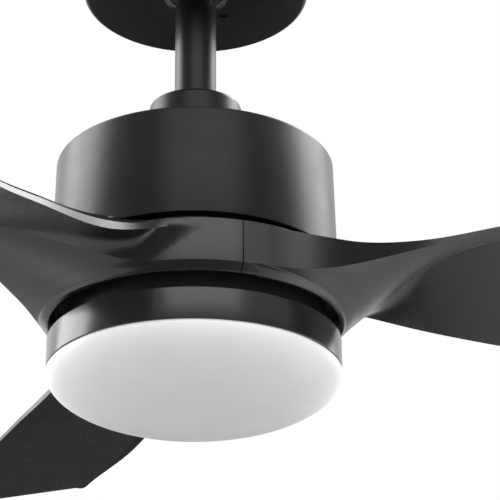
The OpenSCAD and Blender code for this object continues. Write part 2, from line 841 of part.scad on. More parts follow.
// Point a little above the slope under the band, at a distance from the hub's outside
function on_band(out, a) = polar(hub_r + out, a,
    inset - band_h - min(max(-out, 0) * root_drop / root_slope, root_drop));
// Point of the free blade: a share of the reach, of the chord and of the pitch's lift
function at(run, side, rise) = [hub_r + run * reach, side * blade_chord, rise * lift];

front_edge = [
    on_band(-5.5, front_a + 1), on_band(-0.5, front_a + 2.5), on_band(1.5, front_a + 9),
    on_band(5.5, front_a + 18), polar(hub_r + 12.4, front_a + 25.7, 1.6 - band_h),
    at(-0.014, -0.452, -0.48), at(0.036, -0.449, -0.395), at(0.12, -0.463, -0.253),
    at(0.19, -0.49, -0.162), at(0.295, -0.542, -0.073), at(0.46, -0.642, 0.031),
    at(0.658, -0.732, 0.095), at(0.855, -0.772, 0.128), at(0.931, -0.794, 0.145),
    at(0.9468, -0.785, 0.145)];

ridge = [
    on_band(-6, rear_a - 20), on_band(-3.8, rear_a - 22), on_band(-2, rear_a - 25),
    on_band(-0.6, rear_a - 28), on_band(0.6, rear_a - 31),
    at(0.006, 0.097, -0.53), at(0.031, 0.018, -0.475), at(0.12, -0.212, -0.214),
    at(0.19, -0.37, -0.147), at(0.295, -0.458, -0.083), at(0.46, -0.591, 0.029),
    at(0.658, -0.709, 0.091), at(0.855, -0.765, 0.126), at(0.931, -0.773, 0.14),
    at(0.947, -0.755, 0.138)];

rear_edge = [
    polar(hub_r - 6, rear_a - 14, -6), polar(hub_r - 3.8, rear_a - 16, -6),
    polar(hub_r - 2, rear_a - 17, -6), polar(hub_r - 0.6, rear_a - 18.5, -6),
    polar(hub_r + 0.6, rear_a - 22, -6),
    at(-0.012, 0.21, -0.166), at(0.014, 0.158, -0.26), at(0.092, 0.118, -0.45),
    at(0.168, 0.133, -0.57), at(0.28, 0.155, -0.73), at(0.434, 0.182, -0.89),
    at(0.63, 0.212, -0.945), at(0.812, 0.218, -0.91), at(0.86, 0.19, -0.89),
    at(0.8715, 0.15, -0.87)];

// Levels of the root's top over the front edge and over the ridge
front_top = [-1, -1, -1.5, -3, -4.3, -6.7, -8.5, -7.9, -5.2];
ridge_top = [-1, -1, -1, -1, -1.5, -2.5, -7, -5, -2.5];
// How far the root's underside hangs below a straight line in the middle of a row
root_sag = [0, 2.4, 2.3, 2.1, 1.7, 2, 1.5, 1];
root_rows = len(front_top);

function mix(a, b, t) = a + (b - a) * t;
function thickness(tops, edge, first_t) = [for (i = [0:len(edge) - 1])
    i < root_rows ? tops[i] - edge[i].z
                  : mix(first_t, front_edge_t, (i - root_rows) / (len(edge) - 1 - root_rows))];
front_t = thickness(front_top, front_edge, front_edge_t);
ridge_t = thickness(ridge_top, ridge, ridge_edge_t);
sag = [for (i = [0:len(front_edge) - 1]) i < len(root_sag) ? root_sag[i] : 0];
// Share of the hub's round that a row follows
bow = [for (i = [0:len(front_edge) - 1]) min(1, max(0, 1 - (i - 4) * 0.2))];

function spline(p0, p1, p2, p3, t) = (2 * p1 + (p2 - p0) * t + (2 * p0 - 5 * p1 + 4 * p2 - p3) * t * t
    + (3 * p1 - p0 - 3 * p2 + p3) * t * t * t) / 2;
function along(list, u) = let (n = len(list) - 1, i = min(floor(u), n - 1))
    spline(list[max(i - 1, 0)], list[i], list[i + 1], list[min(i + 2, n)], u - i);

// Point between front edge and ridge, on a line that is partly bent to the hub's round
function row_point(a, b, v, round_share) = mix(mix(a, b, v), polar(
    mix(norm([a.x, a.y]), norm([b.x, b.y]), v),
    mix(atan2(a.y, a.x), atan2(b.y, b.x), v), mix(a.z, b.z, v)), round_share);

front_cells = 10;
rear_cells = 3;
row_steps = 2;

// Closed ring of points around a row: the underside to the rear, then the top back
function row_ring(u) = let (
    w = along(front_edge, u), r = along(ridge, u), e = along(rear_edge, u),
    tw = along(front_t, u), tr = along(ridge_t, u), dip = along(sag, u), b = along(bow, u),
    under = [for (i = [0:front_cells]) let (v = i / front_cells)
                 row_point(w, r, v, b) - [0, 0, dip * 4 * v * (1 - v)],
             for (i = [1:rear_cells]) mix(r, e, i / rear_cells)],
    thick = [for (i = [0:front_cells]) let (v = i / front_cells) mix(tw, tr, v) + dip * 4 * v * (1 - v),
             for (i = [1:rear_cells]) mix(tr, rear_edge_t, i / rear_cells)])
    concat(under, [for (i = [len(under) - 1:-1:0]) under[i] + [0, 0, thick[i]]]);

blade_rows = [for (k = [0:row_steps * (len(front_edge) - 1)]) row_ring(k / row_steps)];

// Solid through a list of rings, closed at each end by strips between underside and top
module loft(rings) {
    n = len(rings[0]);
    last = len(rings) - 1;
    polyhedron(
        points = [for (ring = rings) for (p = ring) p],
        faces = concat(
            [for (k = [0:last - 1], i = [0:n - 1]) let (a = k * n + i, b = k * n + (i + 1) % n)
                each [[a, b + n, b], [a, a + n, b + n]]],
            [for (i = [0:n / 2 - 2]) each [[i, i + 1, n - 1 - i], [i + 1, n - 2 - i, n - 1 - i]]],
            [for (i = [0:n / 2 - 2]) let (o = last * n)
                each [[o + i, o + n - 1 - i, o + i + 1], [o + i + 1, o + n - 1 - i, o + n - 2 - i]]]));
}

// Section of the hub band and of the flange that carries it
module band_2d() {
    z_slope = -band_h - root_drop;
    translate([0, z_hub]) polygon([[root_in_r, z_slope], [hub_r - root_slope, z_slope],
                                   [hub_r, -band_h], [hub_r, 0], [root_in_r, 0]]);
    translate([flange_in_r, z_flange_low]) square([root_in_r + eps - flange_in_r, flange_t]);
}

module blade(number) {
    color(dark) difference() {
        rotate(rotor_turn + (number - 1) * sector) {
            rotate(front_a) rotate_extrude(angle = rear_a - front_a) band_2d();
            translate([0, 0, z_hub]) loft(blade_rows);
        }
        blade_screw_holes(z_flange_low - 1, flange_t + 2);
    }
}

// ---------------------------------------------------------------- light

module lower_spacer() {
    color(steel) tube(spacer_r, shaft_r + slip, z_neck, z_rotor_low);
}

module neck_shell() {
    color([0.05, 0.05, 0.05]) difference() {
        union() {
            tube(neck_r, shaft_r + slip, z_neck - neck_t, z_neck);
            tube(neck_r, neck_r - neck_t, z_ring, z_neck);
            tube(neck_r, neck_r - neck_lip, z_ring, z_ring + neck_t);
        }
        on_circle(3, ring_screw_at, 90)
            translate([0, 0, z_ring - 1]) cylinder(r = small_screw_r + slip, h = neck_t + 2);
        at_driver_screws() translate([0, 0, z_neck - neck_t - 1])
            cylinder(r = small_screw_r + slip, h = neck_t + 2);
    }
}

module neck_nut() {
    color(zinc) translate([0, 0, z_neck - neck_t - nut_h]) difference() {
        cylinder(r = nut_r, h = nut_h, $fn = 6);
        translate([0, 0, -1]) cylinder(r = shaft_r + slip, h = nut_h + 2);
    }
}

module at_driver_screws() {
    for (s = [-1, 1]) translate([s * (driver_l + ear_l) / 2, driver_y, 0]) children();
}

module led_driver() {
    color([0.93, 0.93, 0.9]) difference() {
        union() {
            translate([0, driver_y, z_neck - neck_t - driver_h]) linear_extrude(driver_h)
                plate_2d(driver_l, driver_w, driver_corner_r);
            translate([0, driver_y, z_neck - neck_t - ear_t]) linear_extrude(ear_t)
                plate_2d(driver_l + 2 * ear_l, ear_w, ear_corner_r);
        }
        at_driver_screws() translate([0, 0, z_neck - neck_t - ear_t - 1])
            cylinder(r = small_screw_r + slip, h = ear_t + 2);
    }
}

module driver_screws() {
    color(steel) at_driver_screws() translate([0, 0, z_neck - neck_t - ear_t])
        screw(small_screw_r, ear_t + neck_t - screw_short, small_head_r, small_head_h);
}

module ring_holes(z, h) {
    on_circle(3, ring_screw_at, 90) translate([0, 0, z]) cylinder(r = small_screw_r + slip, h = h);
    translate([0, lead_y, z]) cylinder(r = lead_hole_r, h = h);
}

module light_ring() {
    color(dark) difference() {
        union() {
            translate([0, 0, z_ring_low]) rotate_extrude($fn = 120) difference() {
                square([ring_r, ring_h]);
                translate([-1, -1]) square([ring_r - ring_wall + 1, ring_h - ring_wall + 1]);
            }
            for (i = [0:2]) rotate(i * 120) rotate_extrude(angle = 120 - notch_angle)
                translate([ring_r - ring_wall - lip_reach, z_lip - lug_t]) square([lip_reach + 0.5, lug_t]);
        }
        ring_holes(z_ring - ring_wall - 1, ring_wall + 2);
    }
}

module heat_spreader() {
    color([0.78, 0.79, 0.8]) difference() {
        translate([0, 0, z_led_board]) cylinder(r = spreader_r, h = spreader_t);
        ring_holes(z_led_board - 1, spreader_t + 2);
        on_circle(4, board_screw_at, 45)
            translate([0, 0, z_led_board - 1]) cylinder(r = small_screw_r + slip, h = spreader_t + 2);
    }
}

module ring_screws() {
    color(steel) on_circle(3, ring_screw_at, 90) translate([0, 0, z_led_board])
        screw(small_screw_r, spreader_t + ring_wall + neck_t, ring_head_r, ring_head_h);
}

module led_board() {
    color([0.95, 0.95, 0.95]) difference() {
        translate([0, 0, z_leds]) cylinder(r = board_r, h = board_t);
        on_circle(4, board_screw_at, 45)
            translate([0, 0, z_leds - 1]) cylinder(r = small_screw_r + slip, h = board_t + 2);
        translate([0, lead_y, z_leds - 1]) cylinder(r = lead_r + slip, h = board_t + 2);
    }
}

module leds() {
    color([1, 0.9, 0.55]) for (ring = led_rings) on_circle(ring[1], ring[0], 180 / ring[1])
        translate([0, 0, z_leds - led_t / 2]) cube([led_size, led_size, led_t], center = true);
}

module led_connector() {
    socket = [10, 7, 4];
    color([0.96, 0.96, 0.93]) translate([-socket.x / 2, lead_y - socket.y / 2, z_leds - socket.z])
        cube(socket);
}

module led_board_screws() {
    color(steel) on_circle(4, board_screw_at, 45) translate([0, 0, z_leds])
        screw(small_screw_r, board_t + spreader_t - screw_short, small_head_r, small_head_h);
}

module led_lead() {
    color([0.9, 0.9, 0.9]) translate([0, lead_y, z_leds])
        cylinder(r = lead_r, h = z_neck - neck_t - driver_h - z_leds);
}

// Half profile of the lens: an elliptic bowl, its rim and the collar inside the ring
function bowl(r, depth) = [for (a = [0:5:90]) [r * cos(a), -depth * sin(a)]];

module lens() {
    rim_t = 3;
    z_collar = z_lip + lug_gap + lug_t;
    color([0.97, 0.97, 0.96]) translate([0, 0, z_rim]) {
        rotate_extrude($fn = 120) difference() {
            union() {
                polygon(concat([[0, 0]], bowl(lens_r, lens_h)));
                square([collar_r, z_collar - z_rim]);
            }
            translate([0, -rim_t])
                polygon(concat([[0, 0]], bowl(collar_r - lens_t, lens_h - rim_t - lens_t)));
            translate([0, -rim_t - eps]) square([collar_r - lens_t, z_collar - z_rim + rim_t + 1]);
        }
        for (i = [0:2]) rotate(i * 120 + lug_start) rotate_extrude(angle = lug_angle)
            translate([collar_r - 0.5, z_lip + lug_gap - z_rim]) square([lug_reach + 0.5, lug_t]);
    }
}

// ---------------------------------------------------------------- wiring

// Cable from the connector over the ball, through rod and shaft, to the driver's side
module supply_cable() {
    z_turn = z_shaft_low - 0.5;
    driver_face = driver_y + driver_w / 2;
    color([0.75, 0.75, 0.73]) translate([cable_x, 0, 0]) {
        translate([0, 0, z_turn]) cylinder(r = cable_r, h = rod_top + cable_out - z_turn);
        translate([0, -cable_bend, z_turn]) rotate([0, 90, 0])
            rotate_extrude(angle = 90) translate([cable_bend, 0]) circle(cable_r);
        translate([0, driver_face, z_turn - cable_bend]) rotate([-90, 0, 0])
            cylinder(r = cable_r, h = -cable_bend - driver_face);
    }
}

module supply_connector() {
    color([0.85, 0.85, 0.83]) translate([-connector_w / 2, -connector_l / 2, rod_top + cable_out])
        cube([connector_w, connector_l, connector_h]);
}

// ---------------------------------------------------------------- parts

canopy();
hanger_bracket();
canopy_screws();
ground_screw();
hanger_ball();
ball_pin();
ball_set_screw();
downrod();
coupling();
clevis_pin();
clevis_clip();
coupling_set_screws();
coupling_screws();
coupling_cover();
motor_housing();
mount_plate();
upper_spacer();
control_board();
board_standoffs();
board_screws();
motor_shaft();
stator_core();
stator_insulators();
stator_windings();
bearing_inner(z_upper_bearing);  // upper_bearing_inner
bearing_inner(z_lower_bearing);  // lower_bearing_inner
bearing_outer(z_upper_bearing);  // upper_bearing_outer
bearing_outer(z_lower_bearing);  // lower_bearing_outer
bearing_balls(z_upper_bearing);  // upper_bearing_balls
bearing_balls(z_lower_bearing);  // lower_bearing_balls
rotor_upper_shell();
rotor_lower_shell();
rotor_magnets();
rotor_screws();
blade_hub();
hub_screws();
blade(1);  // blade_1
blade(2);  // blade_2
blade(3);  // blade_3
blade_screws();
lower_spacer();
neck_shell();
neck_nut();
led_driver();
driver_screws();
light_ring();
heat_spreader();
ring_screws();
led_board();
leds();
led_connector();
led_board_screws();
led_lead();
lens();
supply_cable();
supply_connector();
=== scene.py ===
import json
import math

import bpy
from mathutils import Matrix, Vector


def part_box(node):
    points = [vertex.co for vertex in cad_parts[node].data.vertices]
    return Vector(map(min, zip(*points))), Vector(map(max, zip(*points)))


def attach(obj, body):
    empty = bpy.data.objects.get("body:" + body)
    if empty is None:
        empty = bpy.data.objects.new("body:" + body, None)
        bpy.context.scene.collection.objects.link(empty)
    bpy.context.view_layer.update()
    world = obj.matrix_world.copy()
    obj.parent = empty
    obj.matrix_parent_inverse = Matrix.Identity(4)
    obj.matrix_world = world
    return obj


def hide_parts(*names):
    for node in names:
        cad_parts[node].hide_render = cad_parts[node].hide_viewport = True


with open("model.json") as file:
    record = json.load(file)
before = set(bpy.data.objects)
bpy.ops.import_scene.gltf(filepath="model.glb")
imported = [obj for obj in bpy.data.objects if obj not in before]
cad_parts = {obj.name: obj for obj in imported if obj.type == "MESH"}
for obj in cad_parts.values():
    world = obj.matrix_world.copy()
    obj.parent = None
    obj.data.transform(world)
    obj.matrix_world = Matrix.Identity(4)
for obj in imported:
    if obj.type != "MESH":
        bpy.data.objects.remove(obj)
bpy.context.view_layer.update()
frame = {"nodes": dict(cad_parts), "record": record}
MM = 0.001


# ------------------------------------------------------------------ sizes read off the frame

def radius(node):
    """Outer radius of a round node on the fan's axis."""
    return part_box(node)[1][0]


def low(node):
    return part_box(node)[0][2]


def high(node):
    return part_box(node)[1][2]


# ------------------------------------------------------------------ materials

def new_material(name):
    """A material with its nodes, links and shader, and the object coordinates for its textures."""
    material = bpy.data.materials.new(name)
    material.use_nodes = True
    nodes, links = material.node_tree.nodes, material.node_tree.links
    shader = nodes["Principled BSDF"]
    place = nodes.new("ShaderNodeTexCoord").outputs["Object"]
    return material, nodes, links, shader, place


def noise(nodes, links, place, scale, detail=3.0, roughness=0.55):
    texture = nodes.new("ShaderNodeTexNoise")
    texture.inputs["Scale"].default_value = scale
    texture.inputs["Detail"].default_value = detail
    texture.inputs["Roughness"].default_value = roughness
    links.new(place, texture.inputs["Vector"])
    return texture.outputs["Fac"]


def spread(nodes, links, value, low_out, high_out, low_in=0.3, high_in=0.7):
    """Maps a texture's values to a range."""
    mapping = nodes.new("ShaderNodeMapRange")
    mapping.inputs["From Min"].default_value = low_in
    mapping.inputs["From Max"].default_value = high_in
    mapping.inputs["To Min"].default_value = low_out
    mapping.inputs["To Max"].default_value = high_out
    links.new(value, mapping.inputs["Value"])
    return mapping.outputs["Result"]


def tint(nodes, links, value, dark, light):
    """A colour between two colours, by a texture's value."""
    ramp = nodes.new("ShaderNodeValToRGB")
    ramp.color_ramp.elements[0].position = 0.3
    ramp.color_ramp.elements[0].color = (*dark, 1)
    ramp.color_ramp.elements[1].position = 0.7
    ramp.color_ramp.elements[1].color = (*light, 1)
    links.new(value, ramp.inputs["Fac"])
    return ramp.outputs["Color"]


def bump(nodes, links, shader, height, strength, distance):
    node = nodes.new("ShaderNodeBump")
    node.inputs["Strength"].default_value = strength
    node.inputs["Distance"].default_value = distance
    links.new(height, node.inputs["Height"])
    links.new(node.outputs["Normal"], shader.inputs["Normal"])


MOTTLE_SCALE, GLOSS_SCALE = 14.0, 60.0
GLOSS_SPREAD = 0.08
GRAIN_STRENGTH = 0.25


def surface(name, color, rough, metallic=0.0, variation=0.1, specular=0.5, grain=900.0, grain_depth=0.02):
    """A painted, moulded or metal surface with a mottled colour, uneven gloss and a fine grain."""
    material, nodes, links, shader, place = new_material(name)
    shader.inputs["Metallic"].default_value = metallic
    shader.inputs["Specular IOR Level"].default_value = specular
    broad = noise(nodes, links, place, MOTTLE_SCALE)
    fine = noise(nodes, links, place, grain, detail=2.0)
    links.new(tint(nodes, links, broad, [c * (1 - variation) for c in color],
                   [min(1, c * (1 + variation)) for c in color]), shader.inputs["Base Color"])
    gloss = noise(nodes, links, place, GLOSS_SCALE)
    links.new(spread(nodes, links, gloss, rough * (1 - GLOSS_SPREAD), rough * (1 + GLOSS_SPREAD)),
              shader.inputs["Roughness"])
    bump(nodes, links, shader, fine, GRAIN_STRENGTH, grain_depth * MM)
    return material


def brushed(name, color, rough, squeeze=(1, 1, 40)):
    """Drawn or turned metal: fine lines, close together in the direction that is squeezed."""
    material, nodes, links, shader, place = new_material(name)
    shader.inputs["Metallic"].default_value = 1.0
    squeezed = nodes.new("ShaderNodeMapping")
    squeezed.inputs["Scale"].default_value = squeeze
    links.new(place, squeezed.inputs["Vector"])
    lines = noise(nodes, links, squeezed.outputs["Vector"], scale=120.0, detail=4.0)
    links.new(tint(nodes, links, lines, dark=[c * 0.88 for c in color], light=color),
              shader.inputs["Base Color"])
    links.new(spread(nodes, links, lines, low_out=rough * 0.8, high_out=rough * 1.25),
              shader.inputs["Roughness"])
    bump(nodes, links, shader, lines, strength=0.15, distance=0.02 * MM)
    return material


# Painted light on the lens: the strength of the emission at its rim, and how fast it falls away towards
# the bottom.
PAINTED_RIM_LIGHT, PAINTED_LIGHT_POWER = 0.38, 2.5
OPAL_DARK, OPAL_LIGHT = (0.82, 0.82, 0.82), (0.86, 0.86, 0.86)


def opal(name):
    """Opal acrylic: white through its depth, a little glossy outside, and with painted light: it glows
    more towards its rim, so the rim is lighter.
    """
    material, nodes, links, shader, place = new_material(name)
    cloud = noise(nodes, links, place, scale=25.0)
    links.new(tint(nodes, links, cloud, OPAL_DARK, OPAL_LIGHT), shader.inputs["Base Color"])
    # Painted light: an emission that rises with height, from none at the lens's bottom to its full
    # strength at the rim, though the lens is no lamp.
    split = nodes.new("ShaderNodeSeparateXYZ")
    links.new(place, split.inputs[0])
    rise = spread(nodes, links, split.outputs["Z"], low_out=0.0, high_out=1.0,
                  low_in=low("lens"), high_in=low("light_ring"))
    glow = nodes.new("ShaderNodeMath")
    glow.operation = "POWER"
    glow.inputs[1].default_value = PAINTED_LIGHT_POWER
    links.new(rise, glow.inputs[0])
    lit = spread(nodes, links, glow.outputs[0], low_out=0.0, high_out=PAINTED_RIM_LIGHT, low_in=0.0, high_in=1.0)
    links.new(lit, shader.inputs["Emission Strength"])
    shader.inputs["Emission Color"].default_value = (1, 1, 1, 1)
    shader.inputs["Subsurface Weight"].default_value = 0.35
    shader.inputs["Subsurface Radius"].default_value = (1, 1, 1)
    shader.inputs["Subsurface Scale"].default_value = 6 * MM
    gloss = noise(nodes, links, place, scale=80.0)
    links.new(spread(nodes, links, gloss, low_out=0.36, high_out=0.44), shader.inputs["Roughness"])
    bump(nodes, links, shader, noise(nodes, links, place, scale=500.0), strength=0.1, distance=0.02 * MM)
    return material


def wound_copper(name):
    """Turns of enamelled wire."""
    material, nodes, links, shader, place = new_material(name)
    shader.inputs["Metallic"].default_value = 0.85
    wave = nodes.new("ShaderNodeTexWave")
    wave.bands_direction = "Z"
    wave.inputs["Scale"].default_value = 260.0
    wave.inputs["Distortion"].default_value = 0.6
    links.new(place, wave.inputs["Vector"])
    links.new(tint(nodes, links, wave.outputs["Fac"], dark=(0.25, 0.09, 0.03), light=(0.75, 0.36, 0.15)),
              shader.inputs["Base Color"])
    links.new(spread(nodes, links, wave.outputs["Fac"], low_out=0.25, high_out=0.4),
              shader.inputs["Roughness"])
    bump(nodes, links, shader, wave.outputs["Fac"], strength=0.6, distance=0.2 * MM)
    return material


def laminated(name):
    """Stacked sheets, seen at the core's side."""
    material, nodes, links, shader, place = new_material(name)
    shader.inputs["Metallic"].default_value = 0.9
    wave = nodes.new("ShaderNodeTexWave")
    wave.bands_direction = "Z"
    wave.inputs["Scale"].default_value = 320.0
    links.new(place, wave.inputs["Vector"])
    links.new(tint(nodes, links, wave.outputs["Fac"], dark=(0.2, 0.2, 0.21), light=(0.45, 0.45, 0.47)),
              shader.inputs["Base Color"])
    links.new(spread(nodes, links, wave.outputs["Fac"], low_out=0.35, high_out=0.5),
              shader.inputs["Roughness"])
    bump(nodes, links, shader, wave.outputs["Fac"], strength=0.4, distance=0.05 * MM)
    return material


BLACK = (0.008, 0.008, 0.0082)
SLOTS = {
    "black_paint": surface("black_paint", BLACK, 0.34),
    "black_plastic": surface("black_plastic", BLACK, 0.27, grain=1200.0, grain_depth=0.004, specular=1.0),
    "inner_black": surface("inner_black", (0.019, 0.019, 0.019), 0.5, specular=0.8),
    "zinc_steel": surface("zinc_steel", (0.55, 0.56, 0.58), 0.32, metallic=1.0, variation=0.15),
    "steel": brushed("steel", (0.62, 0.63, 0.65), 0.26),
    "dark_screw": surface("dark_screw", (0.02, 0.02, 0.02), 0.3, grain=2000.0),
    "green_screw": surface("green_screw", (0.05, 0.3, 0.1), 0.35, metallic=0.4),
    "ball_plastic": surface("ball_plastic", (0.03, 0.03, 0.031), 0.38, grain=700.0),
    "aluminium": brushed("aluminium", (0.75, 0.76, 0.77), 0.34, squeeze=(40, 1, 1)),
    "rotor_metal": surface("rotor_metal", (0.5, 0.51, 0.53), 0.42, metallic=1.0, grain=500.0),
    "core_steel": laminated("core_steel"),
    "magnet": surface("magnet", (0.06, 0.06, 0.065), 0.5, grain=400.0),
    "copper": wound_copper("copper"),
    "cage_brass": surface("cage_brass", (0.65, 0.5, 0.22), 0.25, metallic=1.0),
    "board_green": surface("board_green", (0.01, 0.09, 0.035), 0.3, variation=0.25, grain=300.0),
    "board_white": surface("board_white", (0.8, 0.8, 0.79), 0.35),
    "white_plastic": surface("white_plastic", (0.72, 0.72, 0.69), 0.4),
    "led_yellow": surface("led_yellow", (0.85, 0.65, 0.2), 0.35, grain=3000.0),
    "cable": surface("cable", (0.5, 0.5, 0.48), 0.45, grain=600.0),
    "opal": opal("opal"),
}
RING_PAINT = surface("ring_paint", (0.02, 0.02, 0.02), 0.24, grain=700.0, grain_depth=0.01, specular=1.0)

SHARP = 32
slot_of = {part["node"]: part["material_slot"] for part in frame["record"]["subparts"]}
for node, part in frame["nodes"].items():
    part.data.materials.clear()
    part.data.materials.append(SLOTS[slot_of[node]])
    part.data.set_sharp_from_angle(angle=math.radians(SHARP))


# ------------------------------------------------------------------ mesh helpers

def make(name, points, faces, material, body, replaced, sharp=SHARP):
    """A mesh piece in the row frame that stands for CAD nodes and rides on their body."""
    mesh = bpy.data.meshes.new(name)
    mesh.from_pydata([Vector(p) for p in points], [], faces)
    mesh.validate()
    mesh.materials.append(material)
    mesh.shade_smooth()
    mesh.set_sharp_from_angle(angle=math.radians(sharp))
    piece = bpy.data.objects.new(name, mesh)
    bpy.context.collection.objects.link(piece)
    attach(piece, body)
    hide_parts(*replaced)
    return piece


def rounded(corners, steps=5):
    """Closed outline through (r, z, rounding) corners, each rounded by an arc."""
    outline = []
    for i, (r, z, size) in enumerate(corners):
        corner = Vector((r, z))
        before = Vector(corners[i - 1][:2]) - corner
        after = Vector(corners[(i + 1) % len(corners)][:2]) - corner
        if size == 0:
            outline.append(corner)
            continue
        half = before.angle(after) / 2
        reach = size / math.tan(half)
        first = corner + before.normalized() * reach
        last = corner + after.normalized() * reach
        centre = corner + (before.normalized() + after.normalized()).normalized() * (size / math.sin(half))
        a, b = first - centre, last - centre
        turn = a.angle_signed(b)
        for k in range(steps + 1):
            outline.append(centre + Matrix.Rotation(-turn * k / steps, 2) @ a)
    return [(p[0], p[1]) for p in outline]


def turned(outline, start=0.0, sweep=360.0, segments=192):
    """Points and faces of a closed (r, z) outline turned about the axis."""
    whole = sweep >= 360
    rings = segments if whole else segments + 1
    n = len(outline)
    points = []
    for k in range(rings):
        a = math.radians(start + sweep * k / segments)
        points += [(r * math.cos(a), r * math.sin(a), z) for r, z in outline]
    faces = [(k * n + i, k * n + (i + 1) % n, (k + 1) % rings * n + (i + 1) % n, (k + 1) % rings * n + i)
             for k in range(segments) for i in range(n)]
    if not whole:
        faces.append(tuple(range(n)))
        faces.append(tuple(segments * n + i for i in reversed(range(n))))
    return points, faces


def joined(*shells):
    """Several shells' points and faces as one."""
    points, faces = [], []
    for more_points, more_faces in shells:
        faces += [tuple(len(points) + i for i in face) for face in more_faces]
        points += more_points
    return points, faces


def lathe(name, corners, material, body, replaced, slot, *extra):
    """A piece turned from (r, z, rounding) corners, with any extra shells of points and faces."""
    points, faces = joined(turned(rounded(corners)), *extra)
    return make(name, points, faces, material, body, replaced)


# ------------------------------------------------------------------ canopy, downrod, housings

SHEET, DRUM_SHEET = 1.2 * MM, 1.5 * MM
FINE, SMALL, SOFT = 0.2 * MM, 0.3 * MM, 0.4 * MM     # roundings of edges
rod_r = radius("downrod")
canopy_r, canopy_z = radius("canopy"), low("canopy")
CANOPY_HOLE = 20.5 * MM
CANOPY_EDGE = 3 * MM

lathe("canopy_shell", [
    (canopy_r, 0, 0), (canopy_r, canopy_z, CANOPY_EDGE), (CANOPY_HOLE, canopy_z, SMALL),
    (CANOPY_HOLE, canopy_z + SHEET, SMALL), (canopy_r - SHEET, canopy_z + SHEET, CANOPY_EDGE - SHEET),
    (canopy_r - SHEET, 0, 0)], SLOTS["black_paint"], "ceiling_mount", ["canopy"], "black_paint")

ROD_WALL = 2.8 * MM
lathe("downrod_tube", [
    (rod_r, high("downrod"), SOFT), (rod_r, low("downrod"), SOFT),
    (rod_r - ROD_WALL, low("downrod"), SOFT), (rod_r - ROD_WALL, high("downrod"), SOFT)],
    SLOTS["black_paint"], "suspension", ["downrod"], "black_paint")

cover_r, cover_low, cover_high = radius("coupling_cover"), low("coupling_cover"), high("coupling_cover")
COVER_EDGE = 2.5 * MM
cover_hole = rod_r + 0.6 * MM
lathe("coupling_cup", [
    (cover_r, cover_high, COVER_EDGE), (cover_r, cover_low, SMALL),
    (cover_r - DRUM_SHEET, cover_low, SMALL),
    (cover_r - DRUM_SHEET, cover_high - DRUM_SHEET, COVER_EDGE - DRUM_SHEET),
    (cover_hole, cover_high - DRUM_SHEET, FINE), (cover_hole, cover_high, SOFT)],
    SLOTS["black_paint"], "suspension", ["coupling_cover"], "black_paint")

drum_r, drum_low, drum_high = radius("motor_housing"), low("motor_housing"), high("motor_housing")
DRUM_TOP_R = 87.4 * MM
DRUM_EDGE = 2 * MM
SHAFT_HOLE = 8.6 * MM
lathe("motor_drum", [
    (DRUM_TOP_R, drum_high, DRUM_EDGE), (drum_r, drum_low, SOFT), (drum_r - DRUM_SHEET, drum_low, SOFT),
    (DRUM_TOP_R - DRUM_SHEET, drum_high - DRUM_SHEET, DRUM_EDGE - DRUM_SHEET),
    (SHAFT_HOLE, drum_high - DRUM_SHEET, 0), (SHAFT_HOLE, drum_high, 0)],
    SLOTS["black_paint"], "suspension", ["motor_housing"], "black_paint")

neck_r, neck_low, neck_high = radius("neck_shell"), low("neck_shell"), high("neck_shell")
NECK_LIP = 66 * MM
NECK_EDGE = 0.8 * MM
lathe("neck_drum", [
    (neck_r, neck_high, NECK_EDGE), (neck_r, neck_low, SMALL), (NECK_LIP, neck_low, FINE),
    (NECK_LIP, neck_low + DRUM_SHEET, FINE), (neck_r - DRUM_SHEET, neck_low + DRUM_SHEET, FINE),
    (neck_r - DRUM_SHEET, neck_high - DRUM_SHEET, FINE), (SHAFT_HOLE, neck_high - DRUM_SHEET, 0),
    (SHAFT_HOLE, neck_high, 0)], SLOTS["inner_black"], "suspension", ["neck_shell"], "inner_black")


# ------------------------------------------------------------------ light

ring_r, ring_low, ring_high = radius("light_ring"), low("light_ring"), high("light_ring")
RING_WALL = 1.6 * MM
RING_TOP_EDGE, RING_EDGE = 0.6 * MM, 0.5 * MM
RING_HOLE = 8 * MM          # round the axis, in the ring's top
LIP_REACH, LIP_T, LIP_UP = 3.8 * MM, 2 * MM, 4.4 * MM
OVERLAP = 0.2 * MM          # how far lips and lugs run into the wall that holds them
THIRDS, THIRD = 3, 120
NOTCH = 26                  # degrees left free between two lips, for the lens's lugs
lip_low, lip_top = ring_low + LIP_UP - LIP_T, ring_low + LIP_UP
lip_root, lip_tip = ring_r - RING_WALL + OVERLAP, ring_r - RING_WALL - LIP_REACH
lip = rounded([(lip_root, lip_top, 0), (lip_root, lip_low, 0),
               (lip_tip, lip_low, SOFT), (lip_tip, lip_top, SOFT)])
lips = [turned(lip, start=i * THIRD, sweep=THIRD - NOTCH, segments=48) for i in range(THIRDS)]
lathe("light_band", [
    (ring_r, ring_high, RING_TOP_EDGE), (ring_r, ring_low, RING_EDGE),
    (ring_r - RING_WALL, ring_low, RING_EDGE), (ring_r - RING_WALL, ring_high - RING_WALL, RING_EDGE),
    (RING_HOLE, ring_high - RING_WALL, 0), (RING_HOLE, ring_high, 0)],
    RING_PAINT, "suspension", ["light_ring"], "black_paint", *lips)

lens_r, lens_low, lens_high = radius("lens"), low("lens"), high("lens")
LENS_GAP = 1 * MM
LENS_WALL, LENS_RIM, LENS_EDGE = 2.2 * MM, 3 * MM, 0.7 * MM
COLLAR_INSET = 6 * MM
BOWL_START = 1.2 * MM       # the bowl's curve takes over this far below the rim
lens_rim = ring_low - LENS_GAP
collar_r = ring_r - COLLAR_INSET
depth = lens_rim - lens_low


def bowl(r, drop, top, steps=48):
    """Profile of a shallow bowl, from its rim down to the axis."""
    return [(r * math.cos(a), top - drop * math.sin(a)) for a in
            (math.radians(90 * k / steps) for k in range(steps + 1))]


